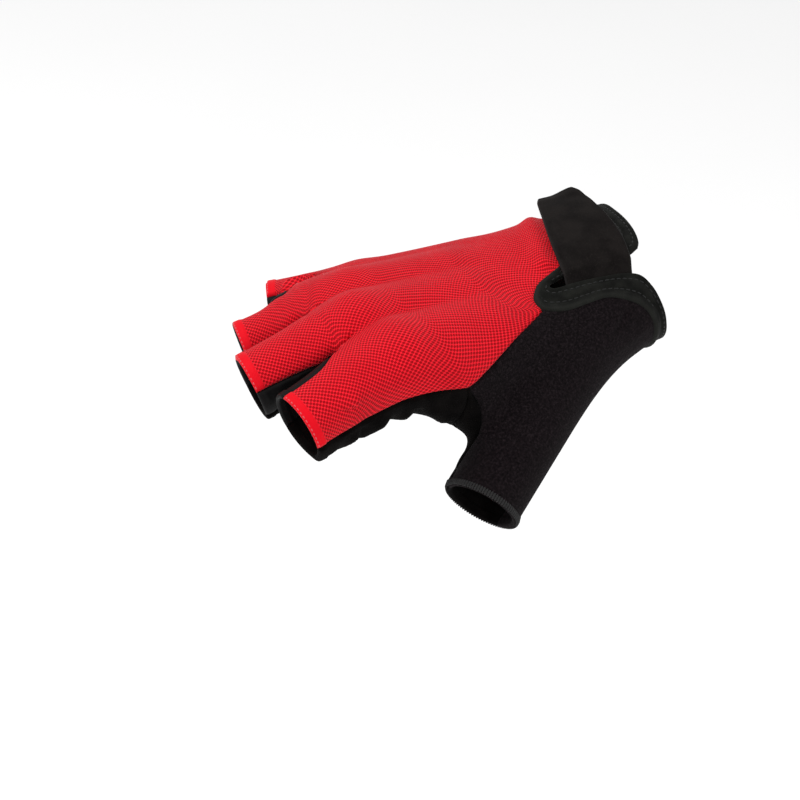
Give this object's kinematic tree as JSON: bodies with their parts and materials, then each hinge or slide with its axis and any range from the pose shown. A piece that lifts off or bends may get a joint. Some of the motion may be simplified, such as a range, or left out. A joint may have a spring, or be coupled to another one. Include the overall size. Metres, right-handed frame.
{
  "type": "fingerless cycling glove",
  "caption": "Right fingerless cycling glove in its worn shape, with a mesh back, a gathered suede-like palm, open finger tubes and a hook-and-loop tab closing a slit on the back.",
  "frame": {"origin": "middle of the wrist opening, where the wearer's wrist goes in", "axes": "+X out of the wrist opening towards the forearm, so the fingers point to -X; -Y towards the thumb; +Z out of the back of the glove"},
  "size_m": [0.1471, 0.1153, 0.0784],
  "materials": {
    "back_mesh": "stretch mesh with rows of small dark dots",
    "palm_suede": "matt synthetic suede",
    "thumb_microfibre": "brushed terry microfibre",
    "finger_wall_knit": "thin stretch knit",
    "cuff_binding": "folded suede-like binding with two rows of stitches",
    "tab_coated": "smooth matt coated fabric",
    "patch_loop": "hook-and-loop fastener"
  },
  "bodies": {
    "root": {"back_panel": "back_mesh", "palm_panel": "palm_suede", "thumb_panel": "thumb_microfibre", "finger_wall_index_middle": "finger_wall_knit", "finger_wall_middle_ring": "finger_wall_knit", "finger_wall_ring_little": "finger_wall_knit", "cuff_band": "cuff_binding", "closure_tab": "tab_coated", "closure_patch": "patch_loop"}
  },
  "joints": []
}
